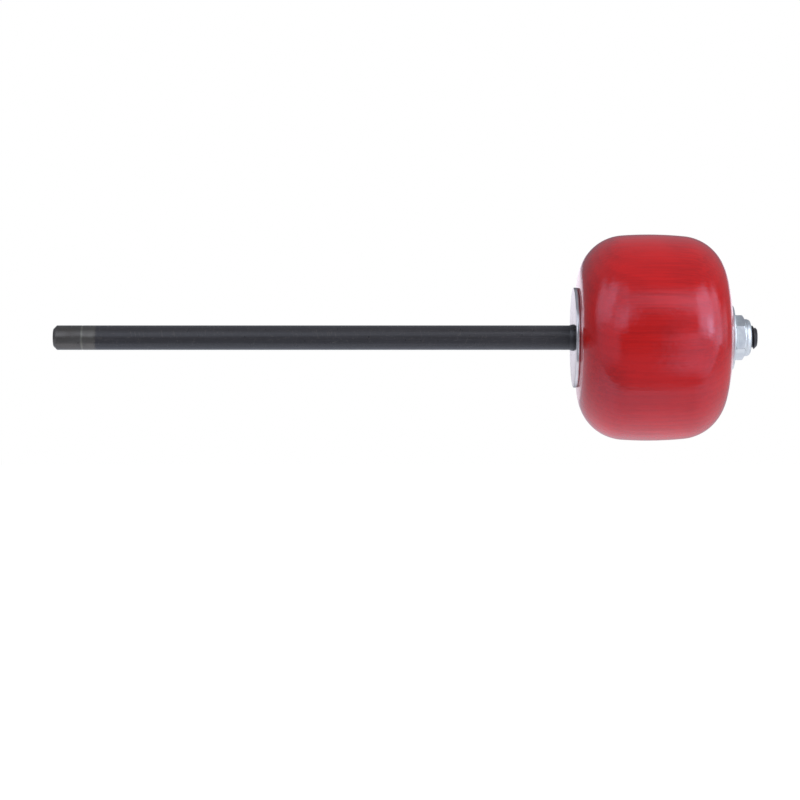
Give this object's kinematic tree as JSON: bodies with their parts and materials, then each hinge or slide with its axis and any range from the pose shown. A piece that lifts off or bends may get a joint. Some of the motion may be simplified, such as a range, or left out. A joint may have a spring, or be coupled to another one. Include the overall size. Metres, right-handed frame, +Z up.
{
  "type": "bass drum beater",
  "caption": "Bass drum pedal beater: a blacked steel rod with a red lacquered turned-wood barrel head, clamped between washers by a lock nut.",
  "frame": {"origin": "on the rod's axis, in the middle of the length that the pedal's clamp grips, 12 mm in from the free end", "axes": "+X along the rod towards the head, +Z up, and the free end at -X, where the clamp comes off"},
  "size_m": [0.2276, 0.0666, 0.0666],
  "materials": {
    "blacked_steel": "satin black on steel, rubbed grey at the gripped end",
    "zinc_plate": "bright zinc plating with a faint blue cast",
    "red_lacquered_wood": "gloss red lacquer over turned hardwood, grain along the rod",
    "nylon": "natural nylon"
  },
  "bodies": {
    "beater": {"rod": "blacked_steel", "rear_washer": "zinc_plate", "head": "red_lacquered_wood"},
    "front_washer": {"front_washer": "zinc_plate"},
    "lock_nut": {"lock_nut": "zinc_plate", "nylon_insert": "nylon"}
  },
  "joints": [
    {"name": "nut_travel", "type": "slide", "parent": "beater", "child": "front_washer", "axis": [1, 0, 0], "range_m": [0, 0.00706]},
    {"name": "nut_turn", "type": "hinge", "parent": "front_washer", "child": "lock_nut", "pos_m": [0.21065, 0, 0], "axis": [1, 0, 0], "range_deg": [0, 1800]}
  ],
  "couplings": [
    {"joint": "nut_travel", "follows": "nut_turn", "m_per_rad": 0.00022458}
  ]
}
